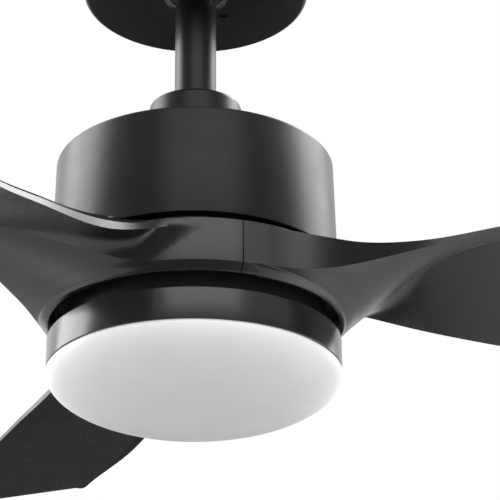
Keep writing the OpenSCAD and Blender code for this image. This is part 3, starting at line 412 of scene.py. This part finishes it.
outer = bowl(lens_r, depth, lens_rim)
rim = rounded([(collar_r, lens_rim, 0), (lens_r, lens_rim, LENS_EDGE),
               (lens_r, lens_rim - LENS_RIM, 0)])[:-1]
inner = bowl(collar_r - LENS_WALL, depth - LENS_RIM - LENS_WALL, lens_rim - LENS_RIM)
outline = (rim + [p for p in outer if p[1] < lens_rim - BOWL_START] + inner[::-1]
           + [(collar_r - LENS_WALL, lens_high), (collar_r, lens_high)])
LUG_START, LUG_ANGLE, LUG_REACH, LUG_EDGE = 12, 20, 3.2 * MM, 0.5 * MM
lug_root, lug_tip = collar_r - OVERLAP, collar_r + LUG_REACH
lug = rounded([(lug_root, lens_high, 0), (lug_tip, lens_high, LUG_EDGE),
               (lug_tip, lens_high - LIP_T, LUG_EDGE), (lug_root, lens_high - LIP_T, 0)])
lugs = [turned(lug, start=i * THIRD + LUG_START, sweep=LUG_ANGLE, segments=12) for i in range(THIRDS)]
points, faces = joined(turned(outline), *lugs)
make("lens_bowl", points, faces, SLOTS["opal"], "lens", ["lens"])


# ------------------------------------------------------------------ blades

BLADE = dict(sweep=904 * MM, chord=165 * MM, pitch=17, hub_r=95 * MM, band_h=27.1 * MM,
             root_drop=5.1 * MM, root_slope=4.6 * MM, wall=4 * MM)
FRONT_T, RIDGE_T = 2.6 * MM, 4.6 * MM
ROTOR_TURN, SEAM, SECTOR = 34, -71.2, 120
HALF_SEAM = 0.3 * MM        # half the gap between two blades at the hub's outside
HUB_DROP = 6.3 * MM         # from the drum's rim down to the top of the blades' hub
ABOVE_BAND = 0.3            # millimetres from the band's bottom up to the underside of the root
hub_r, band_h = BLADE["hub_r"], BLADE["band_h"]
reach = BLADE["sweep"] / 2 - hub_r
lift = BLADE["chord"] * math.sin(math.radians(BLADE["pitch"]))
half_gap = math.degrees(HALF_SEAM / hub_r)
front_a, rear_a = SEAM + half_gap, SEAM + SECTOR - half_gap


def polar(r, a, z):
    return Vector((r * math.cos(math.radians(a)), r * math.sin(math.radians(a)), z))


def on_band(out, a, above=ABOVE_BAND):
    """A point above the bottom of the band, out millimetres from the hub's outside."""
    return polar(hub_r + out * MM, a, above * MM - band_h)


def on_hub(out, a, level=-6):
    """A point at a level below the hub's top, out millimetres from the hub's outside."""
    return polar(hub_r + out * MM, a, level * MM)


def at(run, side, rise):
    """A point of the free blade: a share of the reach, of the chord and of the pitch's lift."""
    return Vector((hub_r + run * reach, side * BLADE["chord"], rise * lift))


# Points of the blade's underside at its stations, from the hub's wall to the tip.
front_edge = [
    on_band(-5.2, front_a + 0.6, -5.15), on_band(0.1, front_a + 2.5, -0.2), on_band(1.2, front_a + 9),
    on_band(4.9, front_a + 18), on_band(11.9, front_a + 25.7, 1.6),
    at(-0.014, -0.452, -0.48), at(0.036, -0.449, -0.395), at(0.12, -0.463, -0.253),
    at(0.19, -0.49, -0.162), at(0.295, -0.542, -0.073), at(0.46, -0.642, 0.031),
    at(0.658, -0.732, 0.095), at(0.855, -0.772, 0.128), at(0.931, -0.794, 0.145),
    at(0.9468, -0.785, 0.145)]
ridge = [
    on_band(-5.2, rear_a - 20, -5.15), on_band(-4.4, rear_a - 22, -4.4), on_band(-3.3, rear_a - 25, -3.2),
    on_band(-2.2, rear_a - 28, -2), on_band(-0.9, rear_a - 31, -0.6),
    at(0.006, 0.097, -0.53), at(0.031, 0.018, -0.475), at(0.12, -0.212, -0.214),
    at(0.19, -0.37, -0.147), at(0.295, -0.458, -0.083), at(0.46, -0.591, 0.029),
    at(0.658, -0.709, 0.091), at(0.855, -0.765, 0.126), at(0.931, -0.773, 0.14),
    at(0.947, -0.755, 0.138)]
rear_edge = [
    on_hub(-6.2, rear_a - 12.5), on_hub(-4.9, rear_a - 14.5), on_hub(-3.7, rear_a - 17),
    on_hub(-1.7, rear_a - 20), on_hub(1.3, rear_a - 23.5, -6.2),
    at(-0.004, 0.206, -0.175), at(0.028, 0.173, -0.262), at(0.088, 0.15, -0.424),
    at(0.168, 0.15, -0.573), at(0.28, 0.168, -0.719), at(0.434, 0.182, -0.89),
    at(0.63, 0.212, -0.945), at(0.812, 0.218, -0.91), at(0.86, 0.19, -0.89),
    at(0.8715, 0.15, -0.87)]
STATIONS = len(front_edge)

# Millimetres at the first stations: levels of the top below the hub's, how far the underside sags before
# the ridge and behind it, the height of the rear wall, and how far the front wall's top leans out.
front_top = [-1, -1, -1.5, -3, -4.3, -6.7, -8.5, -7.9, -5.2]
ridge_top = [-1, -1, -1, -1, -1.5, -2.5, -7, -5, -2.5]
front_sag = [0, 2.4, 2.3, 2.1, 1.7, 2, 1.5, 1]
rear_sag = [0, 0, 0, 0, 0, 0.8, 1.6, 0.8, 0.2]
rear_rise = [5, 5, 5, 5, 5.1, 6.1, 7, 8.4, 8, 6.2, 5.2]
front_lean = [0, 0, 0, 0, 1.5, 3.6, 2.4, 0.2]
FREE_RISE = 5
# The share of the rear wall that stands upright; the last one also holds further out.
rear_upright = [0.9, 0.9, 0.9, 0.9, 0.9, 0.75, 0.55, 0.6, 0.62]


def mix(a, b, t):
    return a + (b - a) * t


def thickness(tops, edge, first):
    """Thickness at each station: up to a stated level in the root, tapering further out."""
    root = len(tops)
    return [tops[i] * MM - edge[i].z if i < root
            else mix(first, FRONT_T, (i - root) / (STATIONS - 1 - root)) for i in range(STATIONS)]


front_t = thickness(front_top, front_edge, FRONT_T)
ridge_t = thickness(ridge_top, ridge, RIDGE_T)


def filled(values, rest=0.0):
    """Millimetres at every station, from a list that stops where only the rest follows."""
    return [(values[i] if i < len(values) else rest) * MM for i in range(STATIONS)]


dip, belly = filled(front_sag), filled(rear_sag)
lean, rear_t = filled(front_lean), filled(rear_rise, FREE_RISE)
upright = [rear_upright[min(i, len(rear_upright) - 1)] for i in range(STATIONS)]

TANGENT_TO, ROOT_TO = 2, 4          # stations where the front wall leaves its seam's plane and the band
BOW_FADE = 0.2
bow = [min(1.0, max(0.0, 1 - (i - ROOT_TO) * BOW_FADE)) for i in range(STATIONS)]
EVEN, EVEN_SIDE = 0.55, 3           # half width in stations, and samples to a side
EVEN_FROM, EVEN_TO = 2, 9


def curve(stations, u):
    """A smooth curve through the stations' values, at u stations from the first."""
    last = len(stations) - 1
    i = min(int(u), last - 1)
    t = u - i
    p0, p1, p2, p3 = (stations[max(i - 1, 0)], stations[i], stations[i + 1], stations[min(i + 2, last)])
    return (2 * p1 + (p2 - p0) * t + (2 * p0 - 5 * p1 + 4 * p2 - p3) * t ** 2
            + (3 * p1 - p0 - 3 * p2 + p3) * t ** 3) / 2


def along(stations, u):
    """The same curve, evened out in the root so that its faces turn gradually."""
    window = min(EVEN, max(0, u - EVEN_FROM), max(0, EVEN_TO - u))
    near = [curve(stations, u + window * k / EVEN_SIDE) for k in range(1 - EVEN_SIDE, EVEN_SIDE + 1)]
    return sum(near, curve(stations, u - window)) / (2 * EVEN_SIDE + 1)


def row_point(a, b, v, share):
    """A point between front edge and ridge, on a line bent to the hub's round by a share."""
    bent = polar(mix(a.xy.length, b.xy.length, v),
                 mix(math.degrees(math.atan2(a.y, a.x)), math.degrees(math.atan2(b.y, b.x)), v),
                 mix(a.z, b.z, v))
    return a.lerp(b, v).lerp(bent, share)


def smooth_max(a, b, width):
    """The larger value, rounded over where the two are close."""
    share = max(width - abs(a - b), 0) / width
    return max(a, b) + share * share * width / 4


HIDDEN = 0.02 * MM          # how far the blade's root stays inside the band's skin
EDGE_BLEND, REAR_BLEND, UNDER_BLEND, INNER_ROUND = 0.2 * MM, 6 * MM, 2.5 * MM, 1.2 * MM


def band_low(r):
    """Level of the band's underside at a radius, carried on past its outside."""
    slope = -band_h - (hub_r - r) * BLADE["root_drop"] / BLADE["root_slope"]
    return smooth_max(slope, -band_h - BLADE["root_drop"], INNER_ROUND)


def lead_out(p, blend, rooted):
    """Leads a wall point out to the band's outside, so that the wall leaves it smoothly."""
    r = smooth_max(p.xy.length, hub_r - HIDDEN, blend)
    z = max(p.z, min(band_low(r), -band_h)) if rooted else p.z
    return Vector((p.x, p.y, 0)) * (r / p.xy.length) + Vector((0, 0, z))


def on_tangent(p):
    """Puts a point of the front wall in the plane that touches the band at its seam."""
    turn = math.atan2(p.y, p.x) - math.radians(front_a)
    share = hub_r / math.cos(turn) / p.xy.length
    return Vector((p.x * share, p.y * share, ABOVE_BAND * MM - band_h))


def lead_down(p, blend):
    """Leads a point of the underside down to the band's underside in the same way."""
    return Vector((p.x, p.y, -smooth_max(-p.z, -band_low(p.xy.length) - HIDDEN, blend)))


FRONT_STEPS, REAR_STEPS = 16, 14
BEFORE_RIDGE, BEHIND_RIDGE = [0.975, 1], [0.015, 0.05]      # narrow cells beside the ridge
FRONT_CELLS = [i / FRONT_STEPS for i in range(FRONT_STEPS)] + BEFORE_RIDGE
REAR_CELLS = BEHIND_RIDGE + [i / REAR_STEPS for i in range(2, REAR_STEPS)] + [1]
ROW_STEPS = 6
REAR_TILT = 0.16            # the rear wall's lean inward, as a share of its height
LEAN_DROP = 0.45            # the drop of the front wall's top, as a share of its lean
NEAR = 0.05                 # part of a station, for the front edge's direction


def row_ring(u):
    """Closed ring round the blade at u stations: the underside to the rear, then the top back."""
    w, r, e = along(front_edge, u), along(ridge, u), along(rear_edge, u)
    tw, tr, te = along(front_t, u), along(ridge_t, u), along(rear_t, u)
    front_dip, rear_dip, share = along(dip, u), along(belly, u), along(bow, u)
    under, top = [], []
    for v in FRONT_CELLS:
        middle = 4 * v * (1 - v)
        p = row_point(w, r, v, share)
        level = p.z + mix(tw, tr, v)
        if v == 0:
            p = on_tangent(p) if u < TANGENT_TO else lead_out(p, EDGE_BLEND, u < ROOT_TO)
        top.append(Vector((p.x, p.y, level)))
        p.z -= front_dip * middle
        under.append(lead_down(p, mix(EDGE_BLEND, UNDER_BLEND, middle * min(u, 1))))
    for v in REAR_CELLS:
        p = r.lerp(e, v)
        level = p.z + mix(tr, te, v)
        p = lead_out(p, max(EDGE_BLEND, REAR_BLEND * v), u < ROOT_TO)
        top.append(Vector((p.x, p.y, level)))
        p.z -= rear_dip * 4 * v * (1 - v)
        under.append(p)
    ahead = (along(front_edge, u + NEAR) - along(front_edge, max(u - NEAR, 0))).xy.normalized()
    top[0] += Vector((ahead.y, -ahead.x, -LEAN_DROP)) * along(lean, u)
    front_shoulder = under[0].lerp(top[0], 0.5)
    wall = along(upright, u)
    inward = Vector((under[-2].x - under[-1].x, under[-2].y - under[-1].y, 0)).normalized()
    rear_shoulder = under[-1].lerp(top[-1], wall) + inward * te * wall * REAR_TILT
    top[-1] += inward * te * (1 - wall * (1 - REAR_TILT))
    return under + [rear_shoulder] + top[::-1] + [front_shoulder]


def free_blade():
    """Points and faces of the blade from its root in the hub's wall to the tip, closed at both ends."""
    rows = [row_ring(k / ROW_STEPS) for k in range(ROW_STEPS * (STATIONS - 1) + 1)]
    n = len(rows[0])
    points = [tuple(p) for row in rows for p in row]
    faces = [(k * n + i, (k + 1) * n + i, (k + 1) * n + (i + 1) % n, k * n + (i + 1) % n)
             for k in range(len(rows) - 1) for i in range(n)]
    cells = n // 2 - 1
    strips = [(i, i + 1, 2 * cells - 1 - i, 2 * cells - i) for i in range(cells - 1)]
    strips += [(cells - 1, cells, cells + 1), (0, 2 * cells, 2 * cells + 1)]
    end = (len(rows) - 1) * n
    faces += strips + [tuple(end + i for i in reversed(strip)) for strip in strips]
    return points, faces


inner_r = hub_r - BLADE["root_slope"] - BLADE["wall"]
UNDER_STEPS, PAST_SLOPE, HUB_EDGE = 16, 0.6 * MM, 0.7 * MM
slope_end = hub_r - BLADE["root_slope"] - PAST_SLOPE
under_radii = [mix(hub_r, slope_end, k / UNDER_STEPS) for k in range(UNDER_STEPS + 1)]
corners = [(hub_r, 0, HUB_EDGE)] + [(r, band_low(r), SMALL if r == hub_r else 0) for r in under_radii]
corners += [(inner_r, -band_h, 0), (inner_r, 0, HUB_EDGE)]
sector = turned(rounded(corners), start=front_a, sweep=rear_a - front_a, segments=120)

FLANGE_R, FLANGE_LOW, FLANGE_HIGH = 60 * MM, -7 * MM, -2 * MM
flange_root = inner_r + 1 * MM
flange = turned([(FLANGE_R, FLANGE_LOW), (FLANGE_R, FLANGE_HIGH), (flange_root, FLANGE_HIGH),
                 (flange_root, FLANGE_LOW)], start=front_a, sweep=rear_a - front_a, segments=64)

BLADE_SHARP = 27
BEVEL, BEVEL_STEPS = 0.8 * MM, 3
hub_z = drum_low - HUB_DROP
for number in (1, 2, 3):
    points, faces = joined(free_blade(), sector, flange)
    turn = Matrix.Rotation(math.radians(ROTOR_TURN + (number - 1) * SECTOR), 4, "Z")
    place = Matrix.Translation((0, 0, hub_z)) @ turn
    points = [place @ Vector(p) for p in points]
    blade = make(f"blade_{number}_moulding", points, faces, SLOTS["black_plastic"], "rotor",
                 [f"blade_{number}"], sharp=BLADE_SHARP)
    edges = blade.modifiers.new("edges", "BEVEL")
    edges.width = BEVEL
    edges.segments = BEVEL_STEPS
    edges.limit_method = "ANGLE"
    edges.angle_limit = math.radians(BLADE_SHARP)
    edges.harden_normals = True


# ------------------------------------------------------------------ stage: floor, curtains, world, lamps

CAMERA_AT = Vector((697.4, -972.3, -773.8)) * MM
CAMERA_UP, CAMERA_TURN, CAMERA_ROLL = 24.17, 34.0, -0.43
CAMERA_LENS, CAMERA_SENSOR, CAMERA_FAR = 151.3, 36, 200
view_a = math.degrees(math.atan2(CAMERA_AT.y, CAMERA_AT.x))
LAMPS_AIM = Vector((0, 0, -0.25))
HALF, FLOOR_Z = 40, -6
FLOOR_GLOW, AMBIENT = 0.35, 0.7


def stage_piece(name, points, faces, material):
    mesh = bpy.data.meshes.new(name)
    mesh.from_pydata(points, [], faces)
    mesh.materials.append(material)
    piece = bpy.data.objects.new(name, mesh)
    bpy.context.collection.objects.link(piece)
    return piece


def floor_material():
    """Pale grey, and as pale as the background where the camera sees it."""
    material, nodes, links, shader, place = new_material("floor_pale")
    stains = noise(nodes, links, place, scale=3.0)
    links.new(tint(nodes, links, stains, dark=(0.68, 0.68, 0.68), light=(0.72, 0.72, 0.72)),
              shader.inputs["Base Color"])
    shader.inputs["Roughness"].default_value = 0.9
    shader.inputs["Emission Color"].default_value = (1, 1, 1, 1)
    path = nodes.new("ShaderNodeLightPath")
    glow = nodes.new("ShaderNodeMath")
    glow.operation = "MULTIPLY"
    glow.inputs[1].default_value = FLOOR_GLOW
    links.new(path.outputs["Is Camera Ray"], glow.inputs[0])
    links.new(glow.outputs[0], shader.inputs["Emission Strength"])
    return material


stage_piece("floor", [(-HALF, -HALF, FLOOR_Z), (HALF, -HALF, FLOOR_Z), (HALF, HALF, FLOOR_Z),
                      (-HALF, HALF, FLOOR_Z)], [(0, 1, 2, 3)], floor_material())


def curtain(name, turn, sweep, profile, grey, steps=24):
    """A dark curtain that only reflections see, as a studio hangs them round a glossy object."""
    material, nodes, links, shader, place = new_material(name + "_felt")
    folds = noise(nodes, links, place, scale=4.0)
    links.new(tint(nodes, links, folds, dark=(grey * 0.9,) * 3, light=(grey * 1.1,) * 3),
              shader.inputs["Base Color"])
    shader.inputs["Roughness"].default_value = 1.0
    shader.inputs["Specular IOR Level"].default_value = 0.0
    points = []
    for k in range(steps + 1):
        a = math.radians(view_a + turn + sweep * (k / steps - 0.5))
        points += [(r * math.cos(a), r * math.sin(a), z) for r, z in profile]
    n = len(profile)
    faces = [(k * n + i, k * n + i + 1, (k + 1) * n + i + 1, (k + 1) * n + i)
             for k in range(steps) for i in range(n - 1)]
    piece = stage_piece(name, points, faces, material)
    piece.visible_camera = False
    piece.visible_diffuse = False
    piece.visible_shadow = False


curtain("front_curtain_high", 0, 176, [(1.2, 7.6), (4, 7), (4, 0.8)], 0.4)
curtain("front_curtain_low", 0, 176, [(4, 0.8), (4, -5.2)], 0.16)
curtain("front_carpet", -8, 120, [(4.1, -5.2), (2, -5.8), (0.6, -5.8)], 0.16)
curtain("back_curtain", 180, 26, [(4, 7), (4, -5.2)], 0.08)


def studio_world():
    """White where the camera or a reflection sees it, softer as light on the object."""
    world = bpy.data.worlds.new("studio")
    bpy.context.scene.world = world
    world.use_nodes = True
    nodes, links = world.node_tree.nodes, world.node_tree.links
    nodes.clear()
    ambient = nodes.new("ShaderNodeBackground")
    ambient.inputs["Strength"].default_value = AMBIENT
    white = nodes.new("ShaderNodeBackground")
    white.inputs["Strength"].default_value = 1.0
    for background in (ambient, white):
        background.inputs["Color"].default_value = (1, 1, 1, 1)
    path = nodes.new("ShaderNodeLightPath")
    seen = path.outputs["Is Camera Ray"]
    for ray in ("Is Glossy Ray", "Is Transmission Ray"):
        either = nodes.new("ShaderNodeMath")
        either.operation = "MAXIMUM"
        links.new(seen, either.inputs[0])
        links.new(path.outputs[ray], either.inputs[1])
        seen = either.outputs[0]
    choice = nodes.new("ShaderNodeMixShader")
    links.new(seen, choice.inputs["Fac"])
    links.new(ambient.outputs[0], choice.inputs[1])
    links.new(white.outputs[0], choice.inputs[2])
    links.new(choice.outputs[0], nodes.new("ShaderNodeOutputWorld").inputs["Surface"])


def lamp(name, turn, elevation, half_turn, half_rise, radiance, distance=2.5):
    """A soft box that faces the fan: its place and half size in degrees from the camera's direction."""
    light = bpy.data.lights.new(name, "AREA")
    light.shape = "RECTANGLE"
    light.size = 2 * distance * math.tan(math.radians(half_turn))
    light.size_y = 2 * distance * math.tan(math.radians(half_rise))
    light.energy = radiance * math.pi * light.size * light.size_y
    box = bpy.data.objects.new(name, light)
    bpy.context.collection.objects.link(box)
    a, e = math.radians(view_a + turn), math.radians(elevation)
    away = Vector((math.cos(a) * math.cos(e), math.sin(a) * math.cos(e), math.sin(e)))
    box.location = LAMPS_AIM + away * distance
    box.rotation_euler = away.to_track_quat("Z", "Y").to_euler()
    box.visible_camera = False


studio_world()
lamp("front_key", 7, 32, 26, 14, 1.1)
lamp("left_box", -107, 22, 19, 28, 3.9)
lamp("right_box", 114, 22, 17, 28, 3.2)
lamp("left_rim", -152, 22, 12, 28, 0.25)
lamp("right_high", 121, 46, 12, 8, 7.0)
lamp("low_left", -112, -42, 26, 16, 0.48)
lamp("low_right", 115, -42, 26, 16, 0.8)

camera_data = bpy.data.cameras.new("camera")
camera_data.sensor_width = CAMERA_SENSOR
camera_data.lens = CAMERA_LENS
camera_data.clip_end = CAMERA_FAR
camera = bpy.data.objects.new("camera", camera_data)
bpy.context.collection.objects.link(camera)
camera.matrix_world = (Matrix.Translation(CAMERA_AT) @ Matrix.Rotation(math.radians(CAMERA_TURN), 4, "Z")
                       @ Matrix.Rotation(math.radians(90 + CAMERA_UP), 4, "X")
                       @ Matrix.Rotation(math.radians(CAMERA_ROLL), 4, "Z"))
bpy.context.scene.camera = camera
bpy.context.scene.view_settings.view_transform = "Standard"
